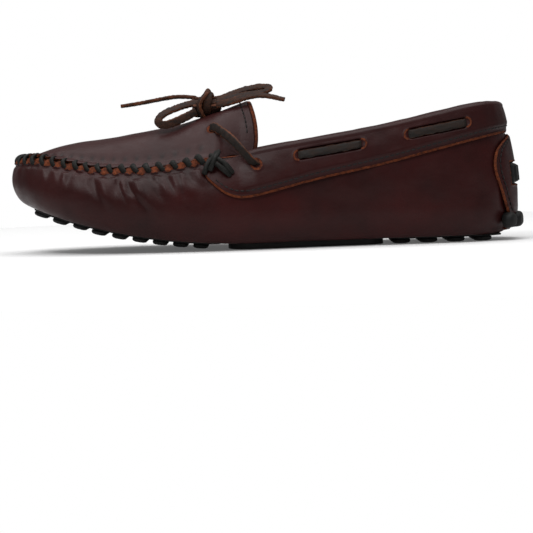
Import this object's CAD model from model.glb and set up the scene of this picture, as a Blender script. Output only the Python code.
import math

import bpy
import numpy as np
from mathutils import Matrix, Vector


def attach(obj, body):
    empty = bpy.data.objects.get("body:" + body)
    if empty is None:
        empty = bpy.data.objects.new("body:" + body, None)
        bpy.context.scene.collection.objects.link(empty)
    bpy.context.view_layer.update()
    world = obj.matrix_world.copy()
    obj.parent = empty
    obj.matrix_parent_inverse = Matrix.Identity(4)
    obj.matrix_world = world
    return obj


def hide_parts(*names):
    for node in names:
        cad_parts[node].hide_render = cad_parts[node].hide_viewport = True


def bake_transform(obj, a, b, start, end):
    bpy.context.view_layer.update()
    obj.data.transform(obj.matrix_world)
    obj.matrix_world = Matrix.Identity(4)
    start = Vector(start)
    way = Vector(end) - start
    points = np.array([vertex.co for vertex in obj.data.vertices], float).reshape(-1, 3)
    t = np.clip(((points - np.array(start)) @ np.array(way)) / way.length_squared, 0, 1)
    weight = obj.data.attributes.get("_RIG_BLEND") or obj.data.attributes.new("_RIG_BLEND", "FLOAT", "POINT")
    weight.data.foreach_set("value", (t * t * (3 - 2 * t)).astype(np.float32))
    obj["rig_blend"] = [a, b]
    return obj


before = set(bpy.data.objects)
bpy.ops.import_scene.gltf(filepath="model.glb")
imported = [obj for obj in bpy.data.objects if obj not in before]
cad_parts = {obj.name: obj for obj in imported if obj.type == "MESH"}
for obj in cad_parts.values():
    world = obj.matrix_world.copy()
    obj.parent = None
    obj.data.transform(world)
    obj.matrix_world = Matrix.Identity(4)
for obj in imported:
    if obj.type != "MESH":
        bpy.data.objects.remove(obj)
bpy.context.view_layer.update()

# Shapes are worked out in millimetres: the station along the shoe from its heelmost point, y to the
# outer side and z up. scene_points() turns them into the frame's metres. The first constants and
# curves are those of the CAD model.
HALF_LENGTH = 142.0
LEATHER = 1.6
BAND_LEATHER = 1.4
GAP = 0.3
SOLE_DROP = 3.5
SPRING_START = 150.0
SPRING_RADIUS = 350.0
TURN_RADIUS = 10.0
TURN_HEIGHT = 15.0
TURN_HEIGHT_TOE = 11.0
TURN_SHARE = 0.4
LEAN_POWER = 2.2
FLANGE = 5.0
STITCH_PITCH = 7.4
SEAM_START = 177.0       # the whip stitches run round the toe from here to here
LACE_WIDTH = 4.4
LACE_THICK = 2.0
SIDE_HOLE = (147.0, 46.5)
APRON_HOLE = (170.5, 66.5)
KNOT = (174.0, 0.0, 81.0)
TONGUE_SPLIT = 166.0
WINDOWS = [(32, 64), (90, 124)]
BAND_FRONT = 174.0
BAND_PUFF = 1.9
LIP = 1.5                # the two raw edges stand this far over the seam
BAR = (31.5, 42.0, 15.0)          # heel bar: lower and upper edge, and half width
NUB_PITCH = 11.0
NUB_FIRST = 179.0
NUB_RADIUS = 4.0
HEEL_NUB_STATIONS = (24, 39, 54, 69)
SOLE_INSET = 12.0
CAMERA_ELEVATION = 3.5            # degrees
CAMERA_ROLL = -1.8
CAMERA_DISTANCE = 1.2             # metres
CAMERA_TARGET = (0.0016, 0.0, -0.0115)
CAMERA_LENS = 145
TONGUE_BEND = ((0.028, 0, 0.075), (0.018, 0, 0.075))   # the leather bends between these two places
PLAN = [(5, 0), (9, 15), (22, 28), (50, 34.5), (85, 37), (120, 41), (150, 45.5), (178, 47.6),
        (205, 47.6), (232, 44.5), (256, 35), (274, 20), (282.5, 5), (283.5, -7), (277, -21),
        (258, -35), (232, -44.5), (205, -47.5), (178, -44.5), (150, -38), (120, -33.5),
        (85, -32.5), (50, -31.5), (22, -26.5), (9, -14.5)]


# ---------------------------------------------------------------- curves shared with the CAD model
def smooth(points):
    """Natural cubic curve through (x, y) points, held level beyond its ends."""
    x, y = np.array(points, float).T
    h = np.diff(x)
    n = len(x)
    matrix = np.eye(n)
    right = np.zeros(n)
    for i in range(1, n - 1):
        matrix[i, i - 1:i + 2] = h[i - 1], 2 * (h[i - 1] + h[i]), h[i]
        right[i] = 6 * ((y[i + 1] - y[i]) / h[i] - (y[i] - y[i - 1]) / h[i - 1])
    m = np.linalg.solve(matrix, right)

    def curve(v):
        v = np.clip(v, x[0], x[-1])
        i = np.clip(np.searchsorted(x, v) - 1, 0, n - 2)
        before, after = x[i + 1] - v, v - x[i]
        bend = (m[i] * before ** 3 + m[i + 1] * after ** 3) / (6 * h[i])
        line = (y[i] / h[i] - m[i] * h[i] / 6) * before
        return bend + line + (y[i + 1] / h[i] - m[i + 1] * h[i] / 6) * after

    return curve


def step(v):
    v = np.clip(v, 0, 1)
    return v * v * (3 - 2 * v)


def bump(v):
    return np.exp(-v ** 2)


loop = np.array(PLAN[-4:] + PLAN + PLAN[:5], float)
knots = np.concatenate([[0], np.cumsum(np.linalg.norm(np.diff(loop, axis=0), axis=1))])
knots -= knots[4]
AROUND = knots[4 + len(PLAN)]
loop_x = smooth(list(zip(knots, loop[:, 0])))
loop_y = smooth(list(zip(knots, loop[:, 1])))


def plan_x(s):
    return loop_x(s % AROUND)


def plan_y(s):
    return loop_y(s % AROUND)


walk = np.linspace(0, AROUND, 2000)
AT_TOE = walk[np.argmax(plan_x(walk))]


def around(station, side):
    """Arc length at which the plan passes a station on the outer (+1) or inner (-1) side."""
    half = walk[walk <= AT_TOE] if side > 0 else walk[walk >= AT_TOE][::-1]
    return np.interp(station, plan_x(half), half)


def outward(s):
    e = 0.5
    tx = plan_x(s + e) - plan_x(s - e)
    ty = plan_y(s + e) - plan_y(s - e)
    size = np.hypot(tx, ty)
    return -ty / size, tx / size


wall_top = smooth([(0, 74), (20, 73.8), (53, 68), (90, 61), (123, 56), (151, 51.2), (175, 49),
                   (187, 47), (206, 45), (224, 45), (239, 46), (262, 50), (274, 51.8), (284, 51.5)])
lean_in = smooth([(0, 8.5), (60, 8), (130, 9), (175, 12.5), (205, 14), (240, 12.5), (262, 9),
                  (276, 6), (284, 4.5)])
turn_height = smooth([(0, TURN_HEIGHT), (220, TURN_HEIGHT), (282, TURN_HEIGHT_TOE)])


def bottom(x):
    front = np.maximum(0, x - SPRING_START)
    return SOLE_DROP + SPRING_RADIUS - np.sqrt(SPRING_RADIUS ** 2 - front ** 2)


def section(s, q):
    """Outward distance and height of the wrap's outer face; q is 0 under the foot, 1 at the top."""
    x = plan_x(s)
    nx = outward(s)[0]
    angle = np.clip(q / TURN_SHARE, 0, 1) * math.pi / 2
    rise = np.clip((q - TURN_SHARE) / (1 - TURN_SHARE), 0, 1)
    lean = lean_in(x)
    turn = turn_height(x)
    full = wall_top(x) - bottom(x - lean * nx)
    d = -TURN_RADIUS * (1 - np.sin(angle)) - lean * rise ** LEAN_POWER + np.minimum(q, 0) * FLANGE
    h = turn * (1 - np.cos(angle)) + (full - turn) * rise
    return d, bottom(x + d * nx) + h


def place(s, d, z):
    nx, ny = outward(s)
    return np.stack([plan_x(s) + d * nx, plan_y(s) + d * ny, z + 0 * s], axis=-1)


TABLE_S = np.linspace(0, AROUND, 700)
TABLE_Q = np.linspace(0, 1, 120)
TABLE_D, TABLE_H = section(TABLE_S[:, None], TABLE_Q[None, :])


def wall_depth(s, z):
    """Outward distance of the wrap's outer face at height z."""
    s, z = np.broadcast_arrays(s % AROUND, z)
    at = s / AROUND * (len(TABLE_S) - 1)
    low = np.clip(at.astype(int), 0, len(TABLE_S) - 2)
    share = (at - low)[..., None]
    heights = TABLE_H[low] * (1 - share) + TABLE_H[low + 1] * share
    depths = TABLE_D[low] * (1 - share) + TABLE_D[low + 1] * share
    row = np.clip((heights < z[..., None]).sum(-1), 1, len(TABLE_Q) - 1)

    def pick(table, i):
        return np.take_along_axis(table, i[..., None], -1)[..., 0]

    h0, h1 = pick(heights, row - 1), pick(heights, row)
    t = np.clip((z - h0) / (h1 - h0), 0, 1)
    return pick(depths, row - 1) * (1 - t) + pick(depths, row) * t


def on_wall(s, z, off=0.0):
    return place(s, wall_depth(s, z) + off, z)


crown = smooth([(144, 82.8), (150, 81.7), (164, 77), (176, 73.2), (186, 70), (203, 66.5),
                (219, 64), (234, 62.2), (247, 60.8), (258, 58.8), (268, 55.8), (277, 53)])
apron_edge = smooth([(144, 51), (156, 50), (164, 49), (171, 48.6), (178, 48.2), (187, 47), (206, 45),
                     (224, 45), (239, 46), (262, 50), (274, 51.8), (284, 51.5)])
ARCH_POWER = 2.3


def tuck(x):
    """The tongue's sides lie this far inside the wrap."""
    return 6 * (1 - step((x - 155) / 15))


def seam_y(x, side):
    s = around(np.minimum(x, 262), side)
    return place(s, -lean_in(plan_x(s)) - LEATHER - tuck(x), 0 * s)[..., 1]


def apron_height(x, y):
    left, right = seam_y(x, 1), seam_y(x, -1)
    across = np.abs(y - (left + right) / 2) / ((left - right) / 2)
    return apron_edge(x) + (crown(x) - apron_edge(x)) * (1 - across ** ARCH_POWER)


def apron_y(x, z, side):
    left, right = seam_y(x, 1), seam_y(x, -1)
    across = ((crown(x) - z) / (crown(x) - apron_edge(x))) ** (1 / ARCH_POWER)
    return (left + right) / 2 + side * across * (left - right) / 2


tongue_edge = smooth([(0, 152), (0.4, 150.3), (0.75, 148), (0.9, 150.2), (1, 155.5)])
TONGUE_MIDDLE = 4.0
TONGUE_HALF = 26.0


def tongue_rear(y):
    return tongue_edge(np.abs(y - TONGUE_MIDDLE) / TONGUE_HALF)


band_top = smooth([(0, 73.4), (20, 73.2), (53, 67.5), (90, 60.5), (123, 55.5), (142, 52.4),
                   (151, 50.8), (160, 49), (168, 46.8), (176, 44.6)])
band_low = {
    1: smooth([(0, 61), (10, 60), (32, 56), (53, 51.3), (73, 46.5), (123, 36.4), (148, 30.6),
               (157, 30), (164, 32.4), (170, 37), (176, 43)]),
    -1: smooth([(0, 61), (10, 61), (32, 57.5), (53, 53.4), (108, 44.8), (148, 39.4),
                (158, 38.6), (165, 39.8), (171, 42), (176, 43.5)]),
}
lace_height = smooth([(0, 68.5), (14, 68), (28, 66), (68, 59.3), (87, 56), (127.5, 50), (147, 46.5)])
PATCH_TOP = 57.0
patch_half_width = smooth([(6, 13), (12, 16), (20, 20.5), (30, 24.5), (40, 27.5), (48, 25.5), (54, 17),
                           (PATCH_TOP, 7)])


# ------------------------------------------------------------------------------------ mesh helpers
def scene_points(points):
    return (np.asarray(points, float) - [HALF_LENGTH, 0, 0]) / 1000


def noise(u, v, seed):
    """Smooth value noise between -1 and 1, one cell per unit."""
    table = np.random.default_rng(seed).uniform(-1, 1, (64, 64))
    iu, iv = np.floor(u).astype(int), np.floor(v).astype(int)
    fu, fv = step(u - iu), step(v - iv)
    a, b = table[iu % 64, iv % 64], table[(iu + 1) % 64, iv % 64]
    c, d = table[iu % 64, (iv + 1) % 64], table[(iu + 1) % 64, (iv + 1) % 64]
    return (a * (1 - fu) + b * fu) * (1 - fv) + (c * (1 - fu) + d * fu) * fv


def normals(grid):
    n = np.cross(np.gradient(grid, axis=0), np.gradient(grid, axis=1))
    return n / np.maximum(np.linalg.norm(n, axis=-1, keepdims=True), 1e-9)


def new_object(name, points, faces, material, masks=None):
    mesh = bpy.data.meshes.new(name)
    mesh.from_pydata(scene_points(points).tolist(), [], faces)
    mesh.validate()
    for mask, values in (masks or {}).items():
        attribute = mesh.attributes.new(mask, "FLOAT", "POINT")
        attribute.data.foreach_set("value", np.asarray(values, np.float32).ravel())
    mesh.shade_smooth()
    mesh.materials.append(material)
    obj = bpy.data.objects.new(name, mesh)
    bpy.context.scene.collection.objects.link(obj)
    return obj


def grid_faces(n, m, start=0, flip=False):
    i, j = np.meshgrid(np.arange(n - 1), np.arange(m - 1), indexing="ij")
    a = (start + i * m + j).ravel()
    quads = np.stack([a, a + 1, a + m + 1, a + m], axis=1)
    return (quads[:, ::-1] if flip else quads).tolist()


def shell(name, grid, thick, material, skive, masks=None, normal=None):
    """Closed sheet of leather. thick goes along the grid's normals. The cut edge carries the mask raw
    and is drawn out by skive, so that it shows from outside: one value each for the first row, last
    row, first column and last column."""
    n, m, _ = grid.shape
    inward = normals(grid) if normal is None else normal
    inner = grid + thick * inward
    border = [(i, 0) for i in range(n)] + [(n - 1, j) for j in range(1, m)]
    border += [(i, m - 1) for i in range(n - 2, -1, -1)] + [(0, j) for j in range(m - 2, 0, -1)]
    rows, columns = np.array(border).T
    sides = [columns == 0, columns == m - 1, rows == 0]
    skive = np.select(sides, [skive[2], skive[3], skive[0]], skive[1])[:, None]
    near = grid[np.clip(rows, 1, n - 2), np.clip(columns, 1, m - 2)]
    edge = grid[rows, columns]
    out = edge - near
    out /= np.maximum(np.linalg.norm(out, axis=-1, keepdims=True), 1e-9)
    facing = (thick * inward)[rows, columns]
    rim = [edge + out * 0.35 * skive + 0.12 * facing,
           edge + out * (0.85 * skive + 0.1) + 0.45 * facing,
           edge + out * (skive + 0.05) + 0.8 * facing]
    inner[rows, columns] += out * skive * 0.9
    points = np.concatenate([grid.reshape(-1, 3), *rim, inner.reshape(-1, 3)])
    size, count = n * m, len(border)
    outer_loop = rows * m + columns
    loops = [outer_loop, *[size + k * count + np.arange(count) for k in range(3)],
             size + 3 * count + outer_loop]
    faces = grid_faces(n, m, 0, True) + grid_faces(n, m, size + 3 * count)
    for a, b in zip(loops, loops[1:]):
        faces += np.stack([a, np.roll(a, -1), np.roll(b, -1), b], axis=1).tolist()
    raw = np.zeros(len(points))
    raw[size:size + 3 * count] = 1
    raw[outer_loop] = 0.35
    raw[size + 3 * count + outer_loop] = 1
    values = {"raw": raw}
    for mask, value in (masks or {}).items():
        flat = np.asarray(value, float).reshape(-1)
        base = values.get(mask, np.zeros(len(points)))
        base[:size] = np.maximum(base[:size], flat)
        values[mask] = base
    return new_object(name, points, faces, material, values)


def tube_frames(path, across):
    """Tangent, across and up vectors along a path, carried along without twist."""
    tangent = np.gradient(path, axis=0)
    tangent /= np.linalg.norm(tangent, axis=1, keepdims=True)
    side = np.array(across, float)
    sides = []
    for t in tangent:
        side = side - t * np.dot(side, t)
        side /= np.linalg.norm(side)
        sides.append(side)
    sides = np.array(sides)
    return tangent, sides, np.cross(tangent, sides)


def swept(name, path, across, ring, material, twist=None, masks=None, taper=0.25):
    """Closed sweep of a cross-section along a path. ring(i) gives the section's (side, up) points
    at step i, in millimetres."""
    path = np.asarray(path, float)
    count = len(path)
    _, side, up = tube_frames(path, across)
    points = []
    for i in range(count):
        section_points = np.array(ring(i))
        angle = 0.0 if twist is None else twist(i / (count - 1))
        a = math.cos(angle) * side[i] + math.sin(angle) * up[i]
        b = math.cos(angle) * up[i] - math.sin(angle) * side[i]
        points.append(path[i] + section_points[:, :1] * a + section_points[:, 1:] * b)
    m = len(points[0])
    ends = []
    for end, inner in ((0, 1), (count - 1, count - 2)):
        out = path[end] - path[inner]
        out /= np.linalg.norm(out)
        ends.append(path[end] + (points[end] - path[end]) * (1 - taper) + out * 0.3)
    rows = [ends[0], *points, ends[1]]
    flat = np.concatenate(rows + [[path[0]], [path[-1]]])
    faces = []
    for i in range(len(rows) - 1):
        for j in range(m):
            k = (j + 1) % m
            faces.append((i * m + j, i * m + k, (i + 1) * m + k, (i + 1) * m + j))
    first, last = len(flat) - 2, len(flat) - 1
    top = (len(rows) - 1) * m
    for j in range(m):
        k = (j + 1) % m
        faces.append((first, k, j))
        faces.append((last, top + j, top + k))
    values = {}
    for mask, value in (masks or {}).items():
        ringed = np.tile(np.asarray(value, float), len(rows))
        values[mask] = np.concatenate([ringed, [ringed[0], ringed[0]]])
    return new_object(name, flat, faces, material, values)


def strap_ring(width, thick, seed, rough=0.14, corners=20):
    """Rounded flat section with slightly ragged edges that change along the strap."""
    angle = np.linspace(0, 2 * math.pi, corners, endpoint=False)
    across = np.sign(np.cos(angle)) * np.abs(np.cos(angle)) ** 0.55 * width / 2
    up = np.sign(np.sin(angle)) * np.abs(np.sin(angle)) ** 0.6 * thick / 2

    def ring(i):
        wobble = 1 + rough * 0.5 * noise(i * 0.13 + 0 * angle, angle * 1.3, seed)
        fray = 1 + rough * noise(i * 0.9 + 0 * angle, angle * 2.0, seed + 1)
        return np.stack([across * wobble * fray, up * fray], axis=1)

    return ring, np.abs(np.cos(angle)) ** 2


def round_ring(radius, plies=2, depth=0.12, pitch=0.35, corners=14, flat=1.0):
    """Section of a plied cord: round, or pressed flat, with lobes that turn along its length."""
    angle = np.linspace(0, 2 * math.pi, corners, endpoint=False)

    def ring(i):
        r = radius * (1 - depth + depth * np.cos(plies * angle + i * pitch))
        return np.stack([r * np.cos(angle), r * flat * np.sin(angle)], axis=1)

    return ring


def spline_through(points, count):
    """Evenly spaced points on a smooth curve through a few."""
    points = np.array(points, float)
    walked = np.concatenate([[0], np.cumsum(np.linalg.norm(np.diff(points, axis=0), axis=1))])
    curves = [smooth(list(zip(walked, points[:, k]))) for k in range(3)]
    at = np.linspace(0, walked[-1], count)
    return np.stack([c(at) for c in curves], axis=1)


# -------------------------------------------------------------------------------------- materials
class Nodes:
    """Short hand for building a material's node tree."""

    def __init__(self, name):
        self.material = bpy.data.materials.new(name)
        self.material.use_nodes = True
        self.tree = self.material.node_tree
        self.shader = self.tree.nodes["Principled BSDF"]
        self.place = self.add("ShaderNodeTexCoord").outputs["Object"]

    def add(self, kind, **settings):
        node = self.tree.nodes.new(kind)
        for key, value in settings.items():
            setattr(node, key, value)
        return node

    def link(self, source, target):
        self.tree.links.new(source, target)

    def value(self, node, **inputs):
        for key, value in inputs.items():
            socket = node.inputs[key.replace("_", " ")]
            if isinstance(value, bpy.types.NodeSocket):
                self.link(value, socket)
            else:
                socket.default_value = value
        return node

    def noise(self, scale, detail=4.0, roughness=0.55, stretch=None):
        node = self.add("ShaderNodeTexNoise")
        where = self.place
        if stretch:
            mapping = self.add("ShaderNodeMapping")
            mapping.inputs["Scale"].default_value = stretch
            self.link(self.place, mapping.inputs["Vector"])
            where = mapping.outputs["Vector"]
        self.value(node, Vector=where, Scale=scale, Detail=detail, Roughness=roughness)
        return node.outputs["Fac"]

    def cells(self, scale, feature="F1"):
        node = self.add("ShaderNodeTexVoronoi", feature=feature)
        self.value(node, Vector=self.place, Scale=scale)
        return node.outputs["Distance"]

    def ramp(self, source, stops):
        """Remaps 0..1 through (position, value or colour) stops."""
        node = self.add("ShaderNodeValToRGB")
        ramp = node.color_ramp
        for _ in range(len(stops) - 2):
            ramp.elements.new(0.5)
        for element, (at, colour) in zip(ramp.elements, stops):
            element.position = at
            if not isinstance(colour, tuple):
                colour = (colour,) * 3
            element.color = (*colour, 1)
        self.link(source, node.inputs["Fac"])
        return node.outputs["Color"]

    def mix(self, factor, a, b, blend="MIX"):
        node = self.add("ShaderNodeMix", data_type="RGBA", blend_type=blend)
        for index, value in ((0, factor), (6, a), (7, b)):
            socket = node.inputs[index]
            if isinstance(value, bpy.types.NodeSocket):
                self.link(value, socket)
            elif index == 0:
                socket.default_value = value
            else:
                socket.default_value = (*value, 1)
        return node.outputs[2]

    def math(self, operation, a, b=0.0, c=0.0):
        node = self.add("ShaderNodeMath", operation=operation)
        for index, value in enumerate((a, b, c)):
            if isinstance(value, bpy.types.NodeSocket):
                self.link(value, node.inputs[index])
            else:
                node.inputs[index].default_value = value
        return node.outputs[0]

    def mask(self, name):
        return self.add("ShaderNodeAttribute", attribute_name=name).outputs["Fac"]

    def bump(self, layers):
        """Chain of (height, strength, distance in metres) bumps into the shader's normal."""
        normal = None
        for height, strength, distance in layers:
            node = self.add("ShaderNodeBump")
            self.value(node, Height=height, Strength=strength, Distance=distance)
            if normal is not None:
                self.link(normal, node.inputs["Normal"])
            normal = node.outputs["Normal"]
        self.link(normal, self.shader.inputs["Normal"])

    def finish(self, colour, roughness, **uniform):
        self.link(colour, self.shader.inputs["Base Color"])
        self.link(roughness, self.shader.inputs["Roughness"])
        for key, value in uniform.items():
            self.shader.inputs[key.replace("_", " ")].default_value = value
        return self.material


RUST = (0.135, 0.034, 0.013)
RUST_DARK = (0.048, 0.013, 0.007)


def leather_material(name, dark, red, grey, scale_shift=0.0):
    n = Nodes(name)
    patches = n.noise(22 + scale_shift, 3, 0.6)
    streaks = n.noise(60 + scale_shift, 5, 0.65, (0.5, 1, 1.4))
    base = n.mix(n.ramp(patches, [(0.35, 0.0), (0.65, 1.0)]), dark, red)
    base = n.mix(n.ramp(streaks, [(0.48, 0.0), (0.78, 0.55)]), base, grey)
    base = n.mix(n.math("MULTIPLY", n.mask("wear"), 0.55), base, grey)
    base = n.mix(n.math("MULTIPLY", n.mask("crease"), 0.6), base, tuple(c * 0.3 for c in dark))
    pores = n.cells(1500, "SMOOTH_F1")
    wrinkle = n.cells(620)
    fine = n.noise(2600, 3, 0.6)
    scuff = n.noise(190, 6, 0.7, (1, 1, 2.2))
    fuzz = n.noise(1700, 4, 0.7)
    rust = n.mix(n.ramp(n.noise(520, 4, 0.6), [(0.35, 0.0), (0.62, 1.0)]), RUST_DARK, RUST)
    edge = n.math("ADD", n.mask("raw"), n.math("MULTIPLY", n.math("SUBTRACT", fuzz, 0.5), 0.55))
    edge = n.ramp(edge, [(0.42, 0.0), (0.6, 1.0)])
    colour = n.mix(edge, base, rust)
    rough = n.ramp(scuff, [(0.3, 0.33), (0.72, 0.5)])
    rough = n.mix(edge, rough, (0.95, 0.95, 0.95))
    grained = n.math("MULTIPLY", pores, n.math("SUBTRACT", 1.0, edge))
    n.bump([(scuff, 0.12, 0.0006), (wrinkle, 0.10, 0.0003), (grained, 0.16, 0.0002),
            (n.math("MULTIPLY", fuzz, edge), 0.9, 0.0007), (fine, 0.06, 0.0001)])
    return n.finish(colour, rough, Specular_IOR_Level=0.13)


def lace_material(name, dark, light):
    n = Nodes(name)
    fibres = n.noise(420, 5, 0.7, (0.35, 1, 1))
    blotch = n.noise(130, 3, 0.6)
    fuzz = n.noise(1500, 4, 0.7)
    face = n.mix(n.ramp(fibres, [(0.4, 0.0), (0.7, 1.0)]), dark, light)
    side = n.mix(n.ramp(blotch, [(0.35, 0.0), (0.65, 1.0)]), (0.032, 0.0125, 0.006),
                 (0.105, 0.030, 0.011))
    edge = n.math("ADD", n.mask("raw"), n.math("MULTIPLY", n.math("SUBTRACT", fuzz, 0.5), 0.9))
    edge = n.ramp(edge, [(0.45, 0.0), (0.8, 1.0)])
    colour = n.mix(edge, face, side)
    rough = n.ramp(fibres, [(0.3, 0.62), (0.7, 0.85)])
    n.bump([(blotch, 0.3, 0.0006), (fibres, 0.4, 0.0004), (fuzz, 0.5, 0.0003)])
    return n.finish(colour, rough, Specular_IOR_Level=0.2)


def cord_material(name, dark, light, scale=1.0):
    n = Nodes(name)
    strands = n.noise(1300 * scale, 4, 0.6)
    wax = n.noise(260 * scale, 3, 0.5)
    colour = n.mix(n.ramp(strands, [(0.35, 0.0), (0.7, 1.0)]), dark, light)
    rough = n.ramp(wax, [(0.3, 0.55), (0.7, 0.8)])
    n.bump([(strands, 0.5, 0.0003), (wax, 0.25, 0.0004)])
    return n.finish(colour, rough, Specular_IOR_Level=0.16)


def rubber_material():
    n = Nodes("sole_rubber")
    dust = n.noise(90, 5, 0.65)
    grain = n.noise(1900, 3, 0.6)
    colour = n.mix(n.ramp(dust, [(0.45, 0.0), (0.8, 1.0)]), (0.005, 0.005, 0.005),
                   (0.016, 0.015, 0.014))
    rough = n.ramp(dust, [(0.3, 0.5), (0.7, 0.75)])
    n.bump([(dust, 0.15, 0.0005), (grain, 0.35, 0.0002)])
    return n.finish(colour, rough, Specular_IOR_Level=0.22)


def lining_material(name, dark, light):
    n = Nodes(name)
    nap = n.noise(900, 4, 0.65)
    rub = n.noise(45, 4, 0.6)
    colour = n.mix(n.ramp(rub, [(0.4, 0.0), (0.75, 1.0)]), dark, light)
    rough = n.ramp(nap, [(0.3, 0.75), (0.7, 0.92)])
    n.bump([(nap, 0.35, 0.0003), (rub, 0.2, 0.0008)])
    return n.finish(colour, rough, Specular_IOR_Level=0.3, Sheen_Weight=0.15)


WRAP = leather_material("wrap_leather", (0.015, 0.0038, 0.0037), (0.030, 0.0045, 0.0043),
                        (0.031, 0.0100, 0.0096))
TOP = leather_material("apron_leather", (0.023, 0.0066, 0.0065), (0.032, 0.0068, 0.0066),
                       (0.038, 0.0135, 0.0132), 3.0)
COLLAR = leather_material("collar_leather", (0.016, 0.0038, 0.0037), (0.026, 0.0044, 0.0042),
                          (0.028, 0.0095, 0.0092), 7.0)
LACE = lace_material("lace_leather", (0.0070, 0.0052, 0.0042), (0.020, 0.0100, 0.0066))
BOW_LACE = lace_material("bow_leather", (0.0110, 0.0058, 0.0042), (0.052, 0.0185, 0.0090))
WAXED = cord_material("waxed_cord", (0.0045, 0.0045, 0.0040), (0.0130, 0.0128, 0.0112))
THREAD = cord_material("fine_thread", (0.008, 0.007, 0.007), (0.022, 0.017, 0.016), 2.0)
RUBBER = rubber_material()
LINING = lining_material("black_lining", (0.010, 0.010, 0.010), (0.022, 0.021, 0.021))
SOCK = lining_material("sock_leather", (0.016, 0.013, 0.012), (0.034, 0.028, 0.026))
HIDDEN = lining_material("inner_layers", (0.18, 0.15, 0.11), (0.26, 0.22, 0.17))


# ------------------------------------------------------------------------------- wrap and its seam
seam_ends = around(SEAM_START, 1), around(SEAM_START, -1)
STITCHES = np.linspace(*seam_ends, int((seam_ends[1] - seam_ends[0]) / STITCH_PITCH) + 1)


def rearward(s):
    return np.where(s < AT_TOE, -1.0, 1.0)


def wrap_relief(s, below):
    """How far the wrap stands out of its smooth shape, and how creased it is there."""
    x = plan_x(s)
    back = rearward(s)
    gathered = step((x - 166) / 14)
    rng = np.random.default_rng(7)
    relief = 0.5 * noise(s / 31, below / 24, 1) + 0.3 * noise(s / 13, below / 12, 2)
    crease = np.zeros_like(relief)
    for k, at in enumerate(STITCHES):
        tilt, length, depth, lift = rng.uniform([-0.15, 5, 0.7, 0.5], [0.65, 15, 1.5, 1.3])
        near_toe = 1 - 0.45 * bump((at - AT_TOE) / 45)
        line = s - at - back * tilt * below
        valley = bump(line / (1.3 + 0.09 * below)) * np.exp(-below / (length * 0.8 * near_toe))
        relief -= depth * near_toe * valley * gathered
        crease = np.maximum(crease, valley * gathered * (0.4 + 0.6 * np.exp(-below / 3)))
        middle = s - at - STITCH_PITCH / 2 - back * tilt * below * 1.1
        swell = bump(middle / 2.3) * bump((below - 3.2) / (length * 0.62 * near_toe))
        relief += lift * near_toe * swell * gathered
    folds = np.random.default_rng(23)
    for side in (1, -1):
        for station in np.linspace(181, 238, 9):
            shift, slope, start, length, depth, width = folds.uniform(
                [-3, 0.1, 3, 10, 0.7, 2.3], [3, 0.75, 7, 24, 1.5, 4.0])
            weight = bump((station - 203) / 34)
            line = s - around(station + shift, side) - back * slope * below
            on_side = (s < AT_TOE) == (side > 0)
            reach = step((below - start + 3) / 5) * step((start + length - below) / (0.6 * length))
            ridge = bump(line / width) - 0.9 * bump((line + back * 1.6 * width) / (0.6 * width))
            relief += depth * weight * ridge * reach * on_side
            groove = bump((line + back * 1.6 * width) / 0.8)
            crease = np.maximum(crease, 0.6 * groove * reach * weight * on_side)
    heel = step((60 - x) / 40)
    relief += heel * 0.5 * noise(s / 9, below / 22, 5) * step((below - 15) / 8)
    return relief * step((below - 2.8) / 3.0), crease * step((below - 2.6) / 1.5)


def make_wrap():
    """Sides, toe and bottom, gathered along the seam round the toe."""
    s = np.linspace(0.3, AROUND - 0.3, 1050)
    spread = np.concatenate([np.linspace(-1, 0, 4)[:-1], np.linspace(0, TURN_SHARE, 18),
                             np.linspace(TURN_SHARE, 1, 74)[1:]])
    s, q = np.meshgrid(s, spread, indexing="ij")
    x = plan_x(s)
    d, z = section(s, q)
    edge = wall_top(x) - bottom(x)
    below = (1 - np.clip((q - TURN_SHARE) / (1 - TURN_SHARE), 0, 1)) * (edge - turn_height(x)) * 1.05
    below += np.clip(TURN_SHARE - q, 0, 2) / TURN_SHARE * 18
    grid = place(s, d, z)
    relief, crease = wrap_relief(s, below)
    relief = relief * step(q / 0.2)
    grid = grid - relief[..., None] * normals(grid)
    seam = step((x - 170) / 6)
    phase = (s - STITCHES[0]) / STITCH_PITCH
    puff = 0.5 + 0.5 * np.cos(2 * math.pi * phase)
    near_edge = step((4.0 - below) / 4.0)
    grid[..., 2] += seam * (LIP - 1.1 * puff) * near_edge
    nx, ny = outward(s)
    flare = seam * (1.5 - 1.7 * puff) * step((3.4 - below) / 1.2)
    grid[..., 0] += flare * nx
    grid[..., 1] += flare * ny
    ragged = 0.35 * noise(s / 1.3, 0 * s, 14) + 0.25 * noise(s / 4.0, 0 * s, 15)
    raw = seam * step((2.7 + 1.3 * ragged - 1.3 * puff - below) / 0.5)
    # under the foot the margin is carried on to a line down the middle
    rim = grid[:, 0]
    spine = np.stack([np.clip(rim[:, 0], 34, 246), 1.0 + 0 * rim[:, 0], rim[:, 2]], axis=1)
    floor = []
    for share in np.linspace(0, 1, 14)[:-1]:
        row = spine + (rim - spine) * share
        row[:, 2] = bottom(row[:, 0])
        floor.append(row)
    inward = normals(grid)
    up = np.zeros((len(rim), len(floor), 3))
    up[..., 2] = 1
    whole = np.concatenate([np.stack(floor, axis=1), grid], axis=1)
    pad = np.zeros((len(rim), len(floor)))
    masks = {"crease": np.concatenate([pad, crease], axis=1), "raw": np.concatenate([pad, raw], axis=1)}
    return shell("wrap", whole, LEATHER, WRAP, (0.05, 0.05, 0.0, 1.5), masks,
                 np.concatenate([up, inward], axis=1))


# -------------------------------------------------------------------------------- apron and tongue
seam_s = np.linspace(around(150, 1), around(150, -1), 900)
seam_inset = lean_in(plan_x(seam_s)) + LEATHER + tuck(plan_x(seam_s)) + 0.15
seam_line = place(seam_s, -seam_inset, 0 * seam_s)[:, :2]


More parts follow.
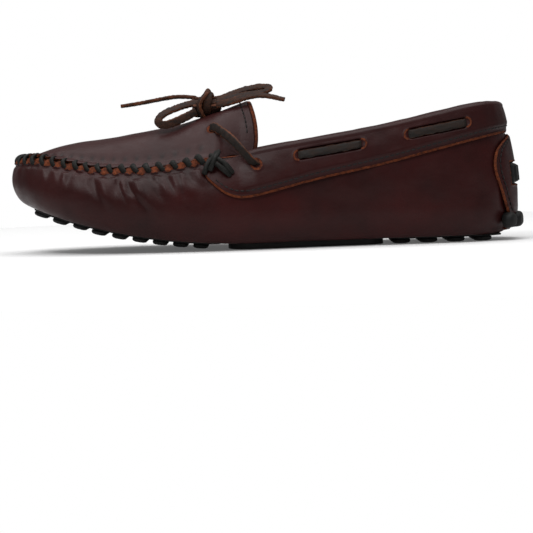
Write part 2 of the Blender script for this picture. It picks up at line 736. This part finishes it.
def to_seam(x, y):
    """Distance in plan from the apron's seam, and where along it."""
    flat = np.stack([x.ravel(), y.ravel()], axis=1)
    distance, at = [], []
    for block in np.array_split(flat, 60):
        gap = np.linalg.norm(block[:, None] - seam_line[None], axis=2)
        best = gap.argmin(axis=1)
        distance.append(gap[np.arange(len(block)), best])
        at.append(seam_s[best])
    return np.concatenate(distance).reshape(x.shape), np.concatenate(at).reshape(x.shape)


def apron_plan(rows, columns, rear, inset=0.0):
    """Grid over the apron's plan, from the tongue's free edge to the toe."""
    toe = int(np.argmax(seam_line[:, 0]))
    outer = seam_line[:toe + 1]
    inner = seam_line[toe:][::-1]
    pick = np.linspace(0, 1, rows) ** 0.92 * toe
    x = np.interp(pick, np.arange(toe + 1), outer[:, 0])
    left = np.interp(pick, np.arange(toe + 1), outer[:, 1]) - inset
    right = np.interp(x, inner[:, 0], inner[:, 1]) + inset
    right[-1] = left[-1]
    t = np.linspace(-1, 1, columns)
    t = np.sign(t) * (1 - (1 - np.abs(t)) ** 1.7)
    y = (left + right)[:, None] / 2 + (left - right)[:, None] / 2 * t[None]
    x = np.broadcast_to(x[:, None], y.shape).copy()
    pull = tongue_rear(y) + rear - outer[0, 0]
    x += pull * (1 - step((x - outer[0, 0]) / 26))
    left = np.interp(x, outer[:, 0], outer[:, 1]) - inset
    right = np.interp(x, inner[:, 0], inner[:, 1]) + inset
    followed = (left + right) / 2 + (left - right) / 2 * t[None]
    return x, np.where(x < outer[0, 0] + 32, followed, y)


def from_lace_hole(x, y, side):
    """Distance from the apron's lace hole, which is seen foreshortened from above."""
    return np.sqrt((x - APRON_HOLE[0]) ** 2 + (y - apron_y(*APRON_HOLE, side)) ** 2 * 1.9)


def apron_relief(x, y, distance, at):
    """How far the apron stands out of its smooth shape, and how creased it is there."""
    seam = step((x - 168) / 8)
    phase = (at - STITCHES[0]) / STITCH_PITCH
    pinch = 0.5 + 0.5 * np.cos(2 * math.pi * phase)
    lift = seam * (LIP * 1.25 - 0.5 * pinch) * (1 - step(distance / 3.0))
    lift -= seam * (0.45 + 0.35 * pinch) * bump((distance - 4.8) / 1.9)
    lift += 0.35 * noise(x / 34, y / 26, 11) + 0.12 * noise(x / 9, y / 9, 12)
    crease = seam * pinch ** 3 * bump((distance - 4.9) / 1.2) * 1.4
    for side in (1, -1):
        ring = from_lace_hole(x, y, side)
        lift += 0.5 * bump((ring - 3.3) / 0.9) - 1.4 * bump(ring / 1.9)
        ring = np.hypot(x - KNOT[0] + 0.5, y - side * 3.4)
        lift += 0.3 * bump((ring - 2.8) / 0.8) - 1.2 * bump(ring / 1.8)
    return lift, crease


def make_apron():
    x, y = apron_plan(430, 171, 0.0)
    distance, at = to_seam(x, y)
    lift, crease = apron_relief(x, y, distance, at)
    grid = np.stack([x, y, apron_height(x, y)], axis=-1)
    up = normals(grid)
    up *= np.sign(up[..., 2:])
    grid = grid + lift[..., None] * (0.35 * up + [0, 0, 0.65])
    raw = np.zeros_like(x)
    for side in (1, -1):
        raw = np.maximum(raw, bump((from_lace_hole(x, y, side) - 2.9) / 0.75) * 0.95)
    wear = bump((distance - 1.0) / 1.5) * 0.6
    down = normals(grid)
    down *= -np.sign(down[..., 2:])
    down[-1] = [0, 0, -1]
    masks = {"raw": raw[:, ::-1], "crease": crease[:, ::-1], "wear": wear[:, ::-1]}
    return shell("apron_and_tongue", grid[:, ::-1], LEATHER, TOP, (2.0, 0.0, 0.1, 0.1), masks,
                 down[:, ::-1])


def make_tongue_lining():
    x, y = apron_plan(430, 91, 1.0, 1.2)
    x, y = x[:130], y[:130]
    grid = np.stack([x, y, apron_height(x, y)], axis=-1)
    down = normals(grid)
    down *= -np.sign(down[..., 2:])
    grid = grid + (LEATHER + 0.35) * down
    return shell("tongue_lining_sheet", grid[:, ::-1], 1.1, LINING, (0.9, 0.1, 0.1, 0.1),
                 normal=down[:, ::-1])


# ------------------------------------------------------------------------------------------ collar
def band_s(front, count):
    return np.linspace(around(front, -1) - AROUND, around(front, 1), count)


def low_edge(s, x):
    return np.where(s >= 0, band_low[1](x), band_low[-1](x))


def in_window(x, margin=1.6):
    """1 where the lace lies outside the band, 0 where it is behind it."""
    share = 0 * x
    for start, end in WINDOWS:
        rise = step((x - start + margin) / (2 * margin))
        share = share + rise * step((end + margin - x) / (2 * margin))
    return share


def band_face(s, x, z):
    """Distance of the band's outer face from the wrap, and how near the lace's slit ends and the
    side hole are."""
    low = low_edge(s, x)
    puff = step((z - low) / 5.0) * step((158 - x) / 12)
    sag = 0.25 * noise(s / 12, z / 9, 31) + 0.15 * noise(s / 4.5, z / 6, 32)
    beside = np.abs(z - lace_height(x)) - LACE_WIDTH / 2
    sunk = in_window(x) * (1 - step((beside + 0.2) / 1.3))
    ends = 0 * x
    for start, end in WINDOWS:
        for station, direction in ((start, -1), (end, 1)):
            ring = np.hypot((x - station), z - lace_height(x)) - LACE_WIDTH / 2 - 0.35
            outside = step(((x - station) * direction + 0.8) / 1.2)
            ends = ends + outside * bump(ring / 0.6)
    hole = np.hypot(x - SIDE_HOLE[0], z - SIDE_HOLE[1])
    face = GAP + BAND_LEATHER + BAND_PUFF * puff * (1 - sunk) + sag * puff
    return face + 0.45 * ends + 0.4 * bump((hole - 3.0) / 0.9) - 1.3 * bump(hole / 2.0), ends, hole


def make_collar():
    """Band, padded fold and facing as one leather, from the band's lower edge over the top line."""
    s = band_s(BAND_FRONT, 900)
    x = plan_x(s)
    fold = 1 - 0.8 * step((x - 148) / 16)
    low, top = low_edge(s, x), band_top(x)
    rows, ends, holes = [], [], []
    outside = 52         # rows of the grid on the outer face; the rest go over the top and inside
    for share in np.linspace(0, 1, outside):
        z = low + share * (top - low)
        face, end, hole = band_face(s, x, z)
        rows.append(on_wall(s, z, face))
        ends.append(end)
        holes.append(bump((hole - 2.7) / 0.7))
    edge = place(s, wall_depth(s, top) - LEATHER / 2, top + 0.4)
    nx, ny = outward(s)
    side = np.stack([nx, ny, 0 * s], axis=-1)
    reach = fold * (band_face(s, x, top)[0] + LEATHER / 2)
    for angle in np.radians(np.linspace(14, 172, 13)):
        turn = math.cos(angle) * side + 0.62 * math.sin(angle) * np.array([0, 0, 1.0])
        rows.append(edge + reach[:, None] * turn)
    for depth in np.linspace(1.2, 13, 9):
        face = -LEATHER - (2.2 + 0.5 * math.sin(depth / 3)) * fold
        rows.append(on_wall(s, top - depth * fold, face))
    grid = np.stack(rows, axis=1)
    over = np.arange(grid.shape[1]) > outside - 2
    thick = BAND_LEATHER * np.where(over, fold[:, None] * 0.8, 1.0)[..., None]
    wear = np.zeros(grid.shape[:2])
    wear[:, outside - 2:outside + 6] = 0.55
    raw = np.zeros(grid.shape[:2])
    raw[:, :outside] = np.maximum(np.stack(ends, axis=1) * 1.1, np.stack(holes, axis=1))
    return shell("collar", grid, thick, COLLAR, (1.2, 1.2, 1.35, 0.2), {"raw": raw, "wear": wear})


def make_lace_run():
    """The thong around the collar, outside the band in its windows and behind it elsewhere."""
    s = band_s(SIDE_HOLE[0] - 1, 760)
    x = plan_x(s)
    behind, before = 1.7, 2.05 + LACE_THICK       # the lace's outer face behind and outside the band
    face = GAP + behind + (before - behind) * in_window(x, 2.2)
    rows = []
    across = np.linspace(-1, 1, 11)
    for t in across:
        fray = 1 + 0.10 * noise(s / 2.2, 0 * s + t * 3, 41)
        z = lace_height(x) + t * LACE_WIDTH / 2 * fray
        crowned = face - 0.55 * abs(t) ** 4 + 0.14 * noise(s / 3.1, 0 * s + t * 2, 42)
        rows.append(on_wall(s, z, crowned))
    edge = np.broadcast_to(np.clip((across - 0.55) / 0.45, 0, 1) * 0.75, (len(s), 11))
    return shell("lace_around_collar", np.stack(rows, axis=1), LACE_THICK - 0.6, LACE,
                 (0.1, 0.1, 0.25, 0.25), {"raw": edge})


# ------------------------------------------------------------------------------- cords of the seam
def join(name, objects):
    """One object out of several meshes that share a material."""
    points, faces, values = [], [], {}
    start = 0
    masks = {a.name for o in objects for a in o.data.attributes if a.data_type == "FLOAT"}
    for o in objects:
        count = len(o.data.vertices)
        co = np.empty(count * 3, np.float32)
        o.data.vertices.foreach_get("co", co)
        points.append(co.reshape(-1, 3))
        faces += [[v + start for v in p.vertices] for p in o.data.polygons]
        for mask in masks:
            data = np.zeros(count, np.float32)
            if mask in o.data.attributes:
                o.data.attributes[mask].data.foreach_get("value", data)
            values.setdefault(mask, []).append(data)
        start += count
    flat = np.concatenate(points) * 1000 + [HALF_LENGTH, 0, 0]
    made = new_object(name, flat, faces, objects[0].data.materials[0],
                      {mask: np.concatenate(data) for mask, data in values.items()})
    for o in objects:
        mesh = o.data
        bpy.data.objects.remove(o)
        bpy.data.meshes.remove(mesh)
    return made


def make_whip_stitches():
    pieces = []
    rng = np.random.default_rng(5)
    for k, at in enumerate(STITCHES):
        slant, lean, size = rng.uniform([1.0, -0.3, 0.92], [1.5, 0.3, 1.1])
        slant *= float(-rearward(at))
        top = wall_top(plan_x(at)) + LIP
        inset = -lean_in(plan_x(at))
        # (along the seam, outward, up) from the top of the wrap's edge
        route = [(-1.7, -0.6, -4.6), (-1.5, 0.9, -3.9), (-1.0, 1.6, -2.5), (-0.2, 1.35, -0.9),
                 (0.6, 0.1, 0.5), (1.4, -2.0, 0.7), (2.0, -4.0, -0.2), (2.2, -4.8, -1.8)]
        path = [place(at + slant * a + lean, inset + b, top + c) for a, b, c in route]
        path = spline_through(path, 22)
        nx, ny = outward(at)
        along = (float(-ny), float(nx), 0.0)
        pieces.append(swept(f"stitch_{k}", path, along, round_ring(2.2 * size, flat=0.55), WAXED))
    return join("whip_stitches", pieces)


def make_tie(side):
    """The waxed cord's ends, knotted round the collar's front end."""
    # (station, height, distance from the wrap) along each turn
    routes = [
        [(175.2, 41.6, 0.6), (174.2, 44.4, 3.2), (172.2, 47.6, 4.6), (169.6, 50.6, 4.4),
         (167.8, 52.4, 2.6)],
        [(171.4, 50.8, 2.2), (169, 50.2, 5.2), (165.6, 47.8, 6), (162.4, 44.6, 4.8), (160, 41.8, 1.4)],
        [(172.6, 48.2, 1.8), (170, 47.6, 4.8), (166.6, 45, 5.4), (163.6, 42.4, 4), (161.6, 40.2, 1.2)],
        [(166.8, 53, 1), (168.2, 51, 6.2), (170.4, 47, 6.6), (172, 43.4, 2.8)],
    ]
    pieces = []
    for k, route in enumerate(routes):
        path = []
        for station, z, off in route:
            s = around(station, side)
            depth = wall_depth(s, np.minimum(z, wall_top(station) - 0.5))
            path.append(place(s, depth + off, z + 0.6))
        path = spline_through(path, 30)
        pieces.append(swept(f"tie_{k}", path, (0, 0, 1), round_ring(1.75 - 0.1 * k), WAXED))
    return join("collar_tie_outer_cord" if side > 0 else "collar_tie_inner_cord", pieces)


def stitch_row(name, path, pitch, length, radius, material):
    """Short thread stitches along a line of points."""
    path = np.asarray(path, float)
    walked = np.concatenate([[0], np.cumsum(np.linalg.norm(np.diff(path, axis=0), axis=1))])
    points, faces = [], []
    ring = np.linspace(0, 2 * math.pi, 6, endpoint=False)
    shape = [(-0.5, 0.25), (-0.4, 0.8), (-0.15, 1.0), (0.15, 1.0), (0.4, 0.8), (0.5, 0.25)]
    for at in np.arange(pitch / 2, walked[-1] - pitch / 2, pitch):
        centre, ahead = (np.array([np.interp(v, walked, path[:, k]) for k in range(3)])
                         for v in (at, at + 0.5))
        along = (ahead - centre) / np.linalg.norm(ahead - centre)
        side = np.cross(along, (0.31, 0.22, 0.92))
        side /= np.linalg.norm(side)
        up = np.cross(along, side)
        start = len(points)
        for share, size in shape:
            for a in ring:
                round_off = radius * size * (math.cos(a) * side + math.sin(a) * up)
                points.append(centre + along * share * length + round_off)
        for i in range(len(shape) - 1):
            for j in range(6):
                k = (j + 1) % 6
                a, b = start + i * 6, start + i * 6 + 6
                faces.append((a + j, a + k, b + k, b + j))
        faces.append([start + j for j in range(5, -1, -1)])
        faces.append([start + (len(shape) - 1) * 6 + j for j in range(6)])
    return new_object(name, np.array(points), faces, material)


# ---------------------------------------------------------------------------------- heel and inside
def make_heel_patch():
    """Shield over the back seam, with a window for the rubber bar."""
    z = np.linspace(5.5, PATCH_TOP, 120)
    t = np.linspace(-1, 1, 111)
    z, t = np.meshgrid(z, t, indexing="ij")
    s = t * patch_half_width(z)
    low, high, half = BAR
    room = 1.2           # between the bar and the edge of the window
    inside = step((half + room - np.abs(s)) / 0.7)
    inside = inside * step((z - low + room) / 0.7) * step((high + room - z) / 0.7)
    beyond = np.maximum(low - room - z, z - high - room)
    rim = bump(np.maximum(np.abs(s) - half - room, beyond) / 0.6)
    edge = (1 - np.abs(t)) * patch_half_width(z)
    groove = bump((edge - 2.8) / 0.8) * step((z - 14) / 3)
    face = GAP + BAND_LEATHER + 0.4 + 0.5 * step(edge / 6) - 1.3 * inside - 0.4 * groove
    face = face + 0.2 * noise(s / 7, z / 7, 51) + 0.25 * rim
    grid = on_wall(s, z, face)
    return shell("heel_shield", grid, BAND_LEATHER, COLLAR, (0.2, 1.3, 1.2, 1.2), {"raw": 0.9 * rim},
                 inward_of(grid, s))


def make_heel_bar():
    """Rubber bar on the back of the heel, with plain raised ribs."""
    low, high, half = BAR
    low, high, half = low - 0.5, high + 0.5, half + 0.5
    z, s = np.meshgrid(np.linspace(low, high, 60), np.linspace(-half, half, 150), indexing="ij")
    border = np.minimum(half - np.abs(s), np.minimum(z - low, high - z))
    rib = step((0.32 - np.abs(((s / 5.2) + 0.5) % 1 - 0.5)) / 0.06)
    face = 0.6 + 2.4 * step(border / 1.2) + 0.9 * rib * step((border - 1.2) / 0.6)
    grid = on_wall(s, z, GAP + face)
    return shell("heel_rubber_bar", grid, 0.4, RUBBER, (0.02,) * 4, normal=inward_of(grid, s))


def inward_of(grid, s):
    nx, ny = outward(s)
    n = normals(grid)
    facing = n[..., 0] * nx + n[..., 1] * ny
    return n * -np.sign(facing)[..., None]


def lathe(name, profile, centres, axes, material, corners=20):
    """Round studs: a (radius, height) profile turned about each axis at its centre."""
    points, faces = [], []
    angle = np.linspace(0, 2 * math.pi, corners, endpoint=False)
    for centre, axis in zip(centres, axes):
        axis = np.array(axis, float) / np.linalg.norm(axis)
        across = (0.3, 0.2, 1.0) if abs(axis[2]) < 0.9 else (1.0, 0.1, 0.0)
        side = np.cross(axis, across)
        side /= np.linalg.norm(side)
        other = np.cross(axis, side)
        start = len(points)
        for radius, height in profile:
            for a in angle:
                points.append(centre + height * axis + radius * (math.cos(a) * side + math.sin(a) * other))
        for i in range(len(profile) - 1):
            for j in range(corners):
                k = (j + 1) % corners
                a, b = start + i * corners, start + (i + 1) * corners
                faces.append((a + j, a + k, b + k, b + j))
        faces.append([start + j for j in range(corners - 1, -1, -1)])
        faces.append([start + (len(profile) - 1) * corners + j for j in range(corners)])
    return new_object(name, np.array(points), faces, material)


def make_heel_nubs():
    """Rubber nubs low on the back of the heel."""
    centres, axes = [], []
    for s in (-19, -9.5, 0, 9.5, 19):
        centres.append(on_wall(np.array(s), np.array(11.0), 1.0))
        nx, ny = outward(np.array(s))
        axes.append((float(nx), float(ny), 0.05))
    profile = [(4.3, 0), (4.2, 3.2), (3.9, 4.6), (3.3, 5.35), (2.4, 5.75), (1.2, 5.9)]
    return lathe("heel_wall_nubs", profile, centres, axes, RUBBER)


def rubber_plate(name, start, end, rise, thick, inset):
    x = np.linspace(start, end, 60)
    t = np.linspace(-1, 1, 25)
    left, right = (np.array([place(around(v, side), -inset, 0.0)[1] for v in x]) for side in (1, -1))
    from_end = np.clip(np.minimum(x - start, end - x) / 12, 0, 1)
    narrow = 1 - 0.4 * (1 - np.sqrt(np.clip(1 - (1 - from_end) ** 2, 0, 1)))
    y = (left + right)[:, None] / 2 + (left - right)[:, None] / 2 * narrow[:, None] * t
    x = np.broadcast_to(x[:, None], y.shape)
    grid = np.stack([x, y, bottom(x) + rise], axis=-1)
    down = np.zeros_like(grid)
    down[..., 2] = -1
    return shell(name, grid, thick, RUBBER, (0.2,) * 4, normal=down)


def make_soles():
    """Rubber units under the leather, with rounded studs."""
    made = []
    plate = rubber_plate("forefoot_rubber", 168, 271, 0.1, 0.9, SOLE_INSET + 1.5)
    centres, axes = [], []
    for x in np.arange(NUB_FIRST, 270, NUB_PITCH):
        for y in np.arange(-3.5, 4) * NUB_PITCH:
            s = around(x, 1 if y > 0 else -1)
            if abs(y) < abs(place(s, -SOLE_INSET - NUB_RADIUS, 0.0)[1]):
                under = float(bottom(x))
                centres.append((x, float(y), under - 1.0))
                axes.append((x - SPRING_START, 0, -(SOLE_DROP + SPRING_RADIUS - under)))
    profile = [(4.0, 0), (4.2, 0.9), (4.1, 1.5), (3.6, 2.1), (2.5, 2.42), (1.0, 2.5)]
    studs = lathe("studs", profile, centres, axes, RUBBER)
    made.append((join("forefoot_rubber_unit", [plate, studs]), "forefoot_sole"))
    plate = rubber_plate("waist_rubber_unit", 79, 164, 0.1, SOLE_DROP - 0.1, SOLE_INSET)
    made.append((plate, "waist_sole"))
    plate = rubber_plate("heel_rubber", 13, 75, 0.1, 0.9, SOLE_INSET + 1)
    centres = []
    for x in HEEL_NUB_STATIONS:
        beside = 13.5 if x < 30 else 15
        centres += [(x, y, SOLE_DROP - 1.0) for y in (-beside, 0, beside)]
    profile = [(5.0, 0), (5.2, 0.9), (5.1, 1.5), (4.5, 2.1), (3.2, 2.42), (1.2, 2.5)]
    studs = lathe("heel_studs", profile, centres, [(0, 0, -1)] * len(centres), RUBBER)
    made.append((join("heel_rubber_unit", [plate, studs]), "heel_sole"))
    return made


# ------------------------------------------------------------------------------------------- bow
def route(points):
    """Finely spaced points of the smooth line that a strand follows, in millimetres."""
    curve = bpy.data.curves.new("route", "CURVE")
    curve.dimensions = "3D"
    curve.resolution_u = 12
    spline = curve.splines.new("NURBS")
    spline.points.add(len(points) - 1)
    for point, (x, y, z) in zip(spline.points, points):
        point.co = (*scene_points((x, y, z)), 1)
    spline.order_u = 3
    spline.use_endpoint_u = True
    holder = bpy.data.objects.new("route", curve)
    mesh = bpy.data.meshes.new_from_object(holder)
    line = np.array([v.co for v in mesh.vertices]) * 1000 + [HALF_LENGTH, 0, 0]
    bpy.data.objects.remove(holder)
    bpy.data.curves.remove(curve)
    bpy.data.meshes.remove(mesh)
    return line


def evenly(path, spacing):
    walked = np.concatenate([[0], np.cumsum(np.linalg.norm(np.diff(path, axis=0), axis=1))])
    at = np.linspace(0, walked[-1], max(8, int(walked[-1] / spacing)))
    return np.stack([np.interp(at, walked, path[:, k]) for k in range(3)], axis=1)


def thong(name, path, twist, width=4.4, thick=2.1, seed=60, material=BOW_LACE):
    """Flat strip of leather with ragged edges along a path; twist(share) is in degrees, 0 with the
    wide face up."""
    ring, raw = strap_ring(width, thick, seed)
    path = evenly(np.asarray(path, float), 0.55)
    return swept(name, path, (0, 1, 0), ring, material, lambda share: math.radians(twist(share)),
                 {"raw": raw}, taper=0.06)


BOW = {
    "bow_front_end": [(180.3, -2.5, 83.8), (188, -4.5, 84.9), (196.5, -7, 84.2), (206, -10, 82.6),
                      (214.5, -13.5, 81.4), (221.8, -17, 80.6)],
    "bow_front_loop": [(180.3, 3, 80.9), (185.5, 5, 79.8), (190.5, 8, 78.2), (196, 11, 76.2),
                       (200.4, 13, 73.2), (200.6, 14.5, 69.8), (196.6, 15, 68.8), (191, 14, 70.6),
                       (185.5, 11, 73), (180.3, 7.5, 76)],
    "bow_rear_loop": [(167.8, -2.5, 82.6), (161.5, -3.5, 84.8), (154, -4.2, 87.2), (146.5, -4.2, 88.6),
                      (141.2, -3.2, 88.9), (138.9, -0.2, 88), (139.6, 2.8, 86.4), (144, 4, 85.4),
                      (151, 3.6, 84.6), (159, 2.8, 83.4), (167.9, 2.2, 81.8)],
    "bow_rear_end": [(168, 6, 79.6), (161.5, 8.5, 80.4), (154, 11, 82.6), (146, 13, 84.1),
                     (138, 14.5, 83), (131.2, 15.5, 81)],
}
# length in millimetres, far end, body, and turn of the wide face along the strand in degrees
STRANDS = {
    "bow_front_end": (44.4, "bare", "front_bow", lambda t: 6 - 8 * t),
    "bow_front_loop": (50.5, "object", "front_bow", lambda t: -48 + 12 * math.sin(3 * t)),
    "bow_rear_loop": (63.2, "object", "rear_bow", lambda t: 26 + 14 * math.sin(5 * t)),
    "bow_rear_end": (38.9, "bare", "rear_bow", lambda t: 62 - 55 * t),
}


def make_bow():
    for k, (node, (length, far_end, body, twist)) in enumerate(STRANDS.items()):
        path = route(BOW[node])
        strand = thong(node + "_thong", path, twist, seed=60 + 5 * k)
        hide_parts(node)
        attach(strand, body)


def make_knot():
    """Two turns of the thong round the strands that pass through the knot."""
    x, _, z = KNOT
    pieces = []
    # (y, height above the knot's middle, turn of the wide face) of the strands
    strands = [(-2.6, 1.6, 20), (2.4, -0.4, -35), (5, -3.4, 50), (0.2, -2.6, 0), (1.5, -6.2, 80)]
    for k, (y, rise, turned) in enumerate(strands):
        through = [(x - 7.5, y, z + rise + 0.6), (x, y * 0.8, z + rise), (x + 7.5, y, z + rise + 0.4)]
        through = spline_through(through, 40)
        pieces.append(thong(f"knot_strand_{k}", through, lambda t, a=turned: a, 4.3, 2.2, 110 + k))
    angle = np.linspace(-205, 160, 80)
    wrapped = [(x - 1.6 + 0.014 * a, 5.4 * math.sin(math.radians(a)) + 0.6,
                z - 1 + 6.2 * math.cos(math.radians(a))) for a in angle]
    pieces.append(thong("knot_turn", wrapped, lambda t: 12, 4.6, 2.2, 90))
    leg = [(175.6, 3.4, 71), (176.4, 6, 73.6), (177.8, 7.4, 77), (177.8, 7.6, 80.6), (176.2, 6.6, 83.2),
           (174.4, 4.4, 85.2), (173.6, 0.6, 86.2), (173.4, -3.6, 84.4), (173.6, -5.6, 80), (174.6, -4.6, 75),
           (175.6, -3.4, 71)]
    pieces.append(thong("knot_leg", spline_through(leg, 90), lambda t: 30 - 24 * t, 4.4, 2.2, 95))
    cap = [(175.6, 5.4, 82.2), (174.6, 4.2, 85), (173.6, 1.4, 86.6), (172.8, -2, 85.6), (172.4, -4.4, 82)]
    pieces.append(thong("knot_cap", spline_through(cap, 40), lambda t: 4, 4, 2.2, 97))
    return join("knot", pieces)


def make_lace_crossing(side):
    x, z = SIDE_HOLE
    end_x, end_z = APRON_HOLE
    y = float(apron_y(end_x, end_z, side))
    s0, s1, s2 = around(x - 0.5, side), around(x + 3.2, side), around(x + 8, side)
    start = on_wall(s0, z - 0.6, 1.6)
    out = on_wall(s1, z + 2.6, 6.6)
    lift = on_wall(s2, z + 4.2, 0.0) + [0.6, 0, 5.6]
    lift[1] = side * (abs(lift[1]) + 7.2)
    over = np.array([end_x - 4.2, y + side * 5.2, end_z - 1.6])
    down = np.array([end_x + 0.2, y + side * 0.6, end_z + 0.6])
    inside = np.array([end_x + 1.4, y - side * 3.8, end_z - 3.6])
    path = spline_through([start, out, lift, over, down, inside], 80)
    name = "lace_crossing_outer_thong" if side > 0 else "lace_crossing_inner_thong"
    return thong(name, path, lambda t: side * (58 + 12 * t), 4.6, 2.0, 100, LACE)


# -------------------------------------------------------------------------------------- the scene
def aim(obj, target):
    obj.rotation_euler = (Vector(target) - obj.location).to_track_quat("-Z", "Y").to_euler()


def make_camera():
    camera = bpy.data.objects.new("camera", bpy.data.cameras.new("camera"))
    camera.data.sensor_width = 36
    camera.data.lens = CAMERA_LENS
    target = Vector(CAMERA_TARGET)
    elevation = math.radians(CAMERA_ELEVATION)
    camera.location = target + CAMERA_DISTANCE * Vector((0, math.cos(elevation), math.sin(elevation)))
    aim(camera, target)
    camera.rotation_euler.rotate_axis("Z", math.radians(CAMERA_ROLL))
    bpy.context.scene.collection.objects.link(camera)
    bpy.context.scene.camera = camera


def add_light(name, place_at, target, size, power):
    light = bpy.data.lights.new(name, "AREA")
    light.shape = "RECTANGLE"
    light.size, light.size_y = size
    light.energy = power
    obj = bpy.data.objects.new(name, light)
    obj.location = place_at
    aim(obj, target)
    bpy.context.scene.collection.objects.link(obj)


def make_studio():
    bpy.context.scene.view_settings.view_transform = "Standard"
    bpy.ops.mesh.primitive_circle_add(vertices=96, radius=0.42, fill_type="NGON", location=(0, 0, 0))
    floor = bpy.context.object
    floor.name = "floor"
    n = Nodes("pale_floor")
    speckle = n.noise(8, 2, 0.5)
    colour = n.mix(speckle, (0.70, 0.70, 0.70), (0.72, 0.72, 0.72))
    rough = n.ramp(speckle, [(0.3, 0.6), (0.7, 0.7)])
    floor.data.materials.append(n.finish(colour, rough, Emission_Color=(1, 1, 1, 1),
                                         Emission_Strength=0.1))
    world = bpy.data.worlds.new("studio")
    world.use_nodes = True
    tree = world.node_tree
    background = tree.nodes["Background"]
    seen = tree.nodes.new("ShaderNodeLightPath").outputs["Is Camera Ray"]
    strength = tree.nodes.new("ShaderNodeMapRange")
    strength.inputs["To Min"].default_value = 0.25
    strength.inputs["To Max"].default_value = 1.0
    tree.links.new(seen, strength.inputs["Value"])
    tree.links.new(strength.outputs["Result"], background.inputs["Strength"])
    background.inputs["Color"].default_value = (1, 1, 1, 1)
    bpy.context.scene.world = world
    add_light("top", (0.05, 0.1, 1.2), (0.05, 0.1, 0), (1.8, 1.5), 24)
    add_light("front", (0.35, 0.6, 0.85), (0.03, 0, 0.04), (0.32, 0.22), 3.2)


def settle(obj, slot, *nodes, body="upper"):
    """Gives a finished piece its record slot, the CAD nodes it stands for and the body it rides on."""
    if nodes:
        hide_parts(*nodes)
    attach(obj, body)


make_camera()
make_bow()
settle(make_knot(), "lace_leather", "bow_knot")
settle(make_lace_crossing(1), "lace_leather", "lace_crossing_outer")
settle(make_lace_crossing(-1), "lace_leather", "lace_crossing_inner")
settle(make_lace_run(), "lace_leather", "lace_run")

settle(make_wrap(), "pull_up_leather", "wrap_leather")
apron = make_apron()
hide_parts("apron", "tongue")
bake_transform(apron, "upper", "tongue", *TONGUE_BEND)
lining = make_tongue_lining()
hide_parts("tongue_lining")
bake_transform(lining, "upper", "tongue", *TONGUE_BEND)
settle(make_collar(), "collar_leather", "collar_band", "topline_roll", "collar_facing")

settle(make_whip_stitches(), "waxed_cord", "apron_stitches")
settle(make_tie(1), "waxed_cord", "collar_tie_outer")
settle(make_tie(-1), "waxed_cord", "collar_tie_inner")

s = band_s(171, 700)
x = plan_x(s)
z = low_edge(s, x) + 2.4
line = on_wall(s, z, band_face(s, x, z)[0] - 0.05)
settle(stitch_row("collar_stitching", line, 3.0, 2.5, 0.42, THREAD), "thread", "collar_thread")

y = np.linspace(-22, 24, 200)
x = tongue_rear(y) + 3.9
line = np.stack([x, y, apron_height(x, y) + 0.35], axis=-1)
settle(stitch_row("tongue_stitching", line, 3.0, 2.5, 0.4, THREAD), "thread", "tongue_thread",
       body="tongue")

z = np.linspace(13, PATCH_TOP - 1.8, 60)
reach = patch_half_width(z) - 2.8
line = np.concatenate([on_wall(reach, z, GAP + BAND_LEATHER + 0.55),
                       on_wall(-reach, z, GAP + BAND_LEATHER + 0.55)[::-1]])
settle(stitch_row("heel_shield_stitching", line, 3.2, 2.6, 0.42, THREAD), "thread", "heel_patch_thread")
settle(make_heel_patch(), "pull_up_leather", "heel_patch")
settle(make_heel_bar(), "sole_rubber", "heel_bar")
settle(make_heel_nubs(), "sole_rubber", "heel_nubs")
for piece, node in make_soles():
    settle(piece, "sole_rubber", node)

for node, material in (("quarter_lining", LINING), ("sock_liner", SOCK), ("footbed_foam", HIDDEN),
                       ("heel_counter", HIDDEN)):
    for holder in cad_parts[node].material_slots:
        holder.material = material

make_studio()
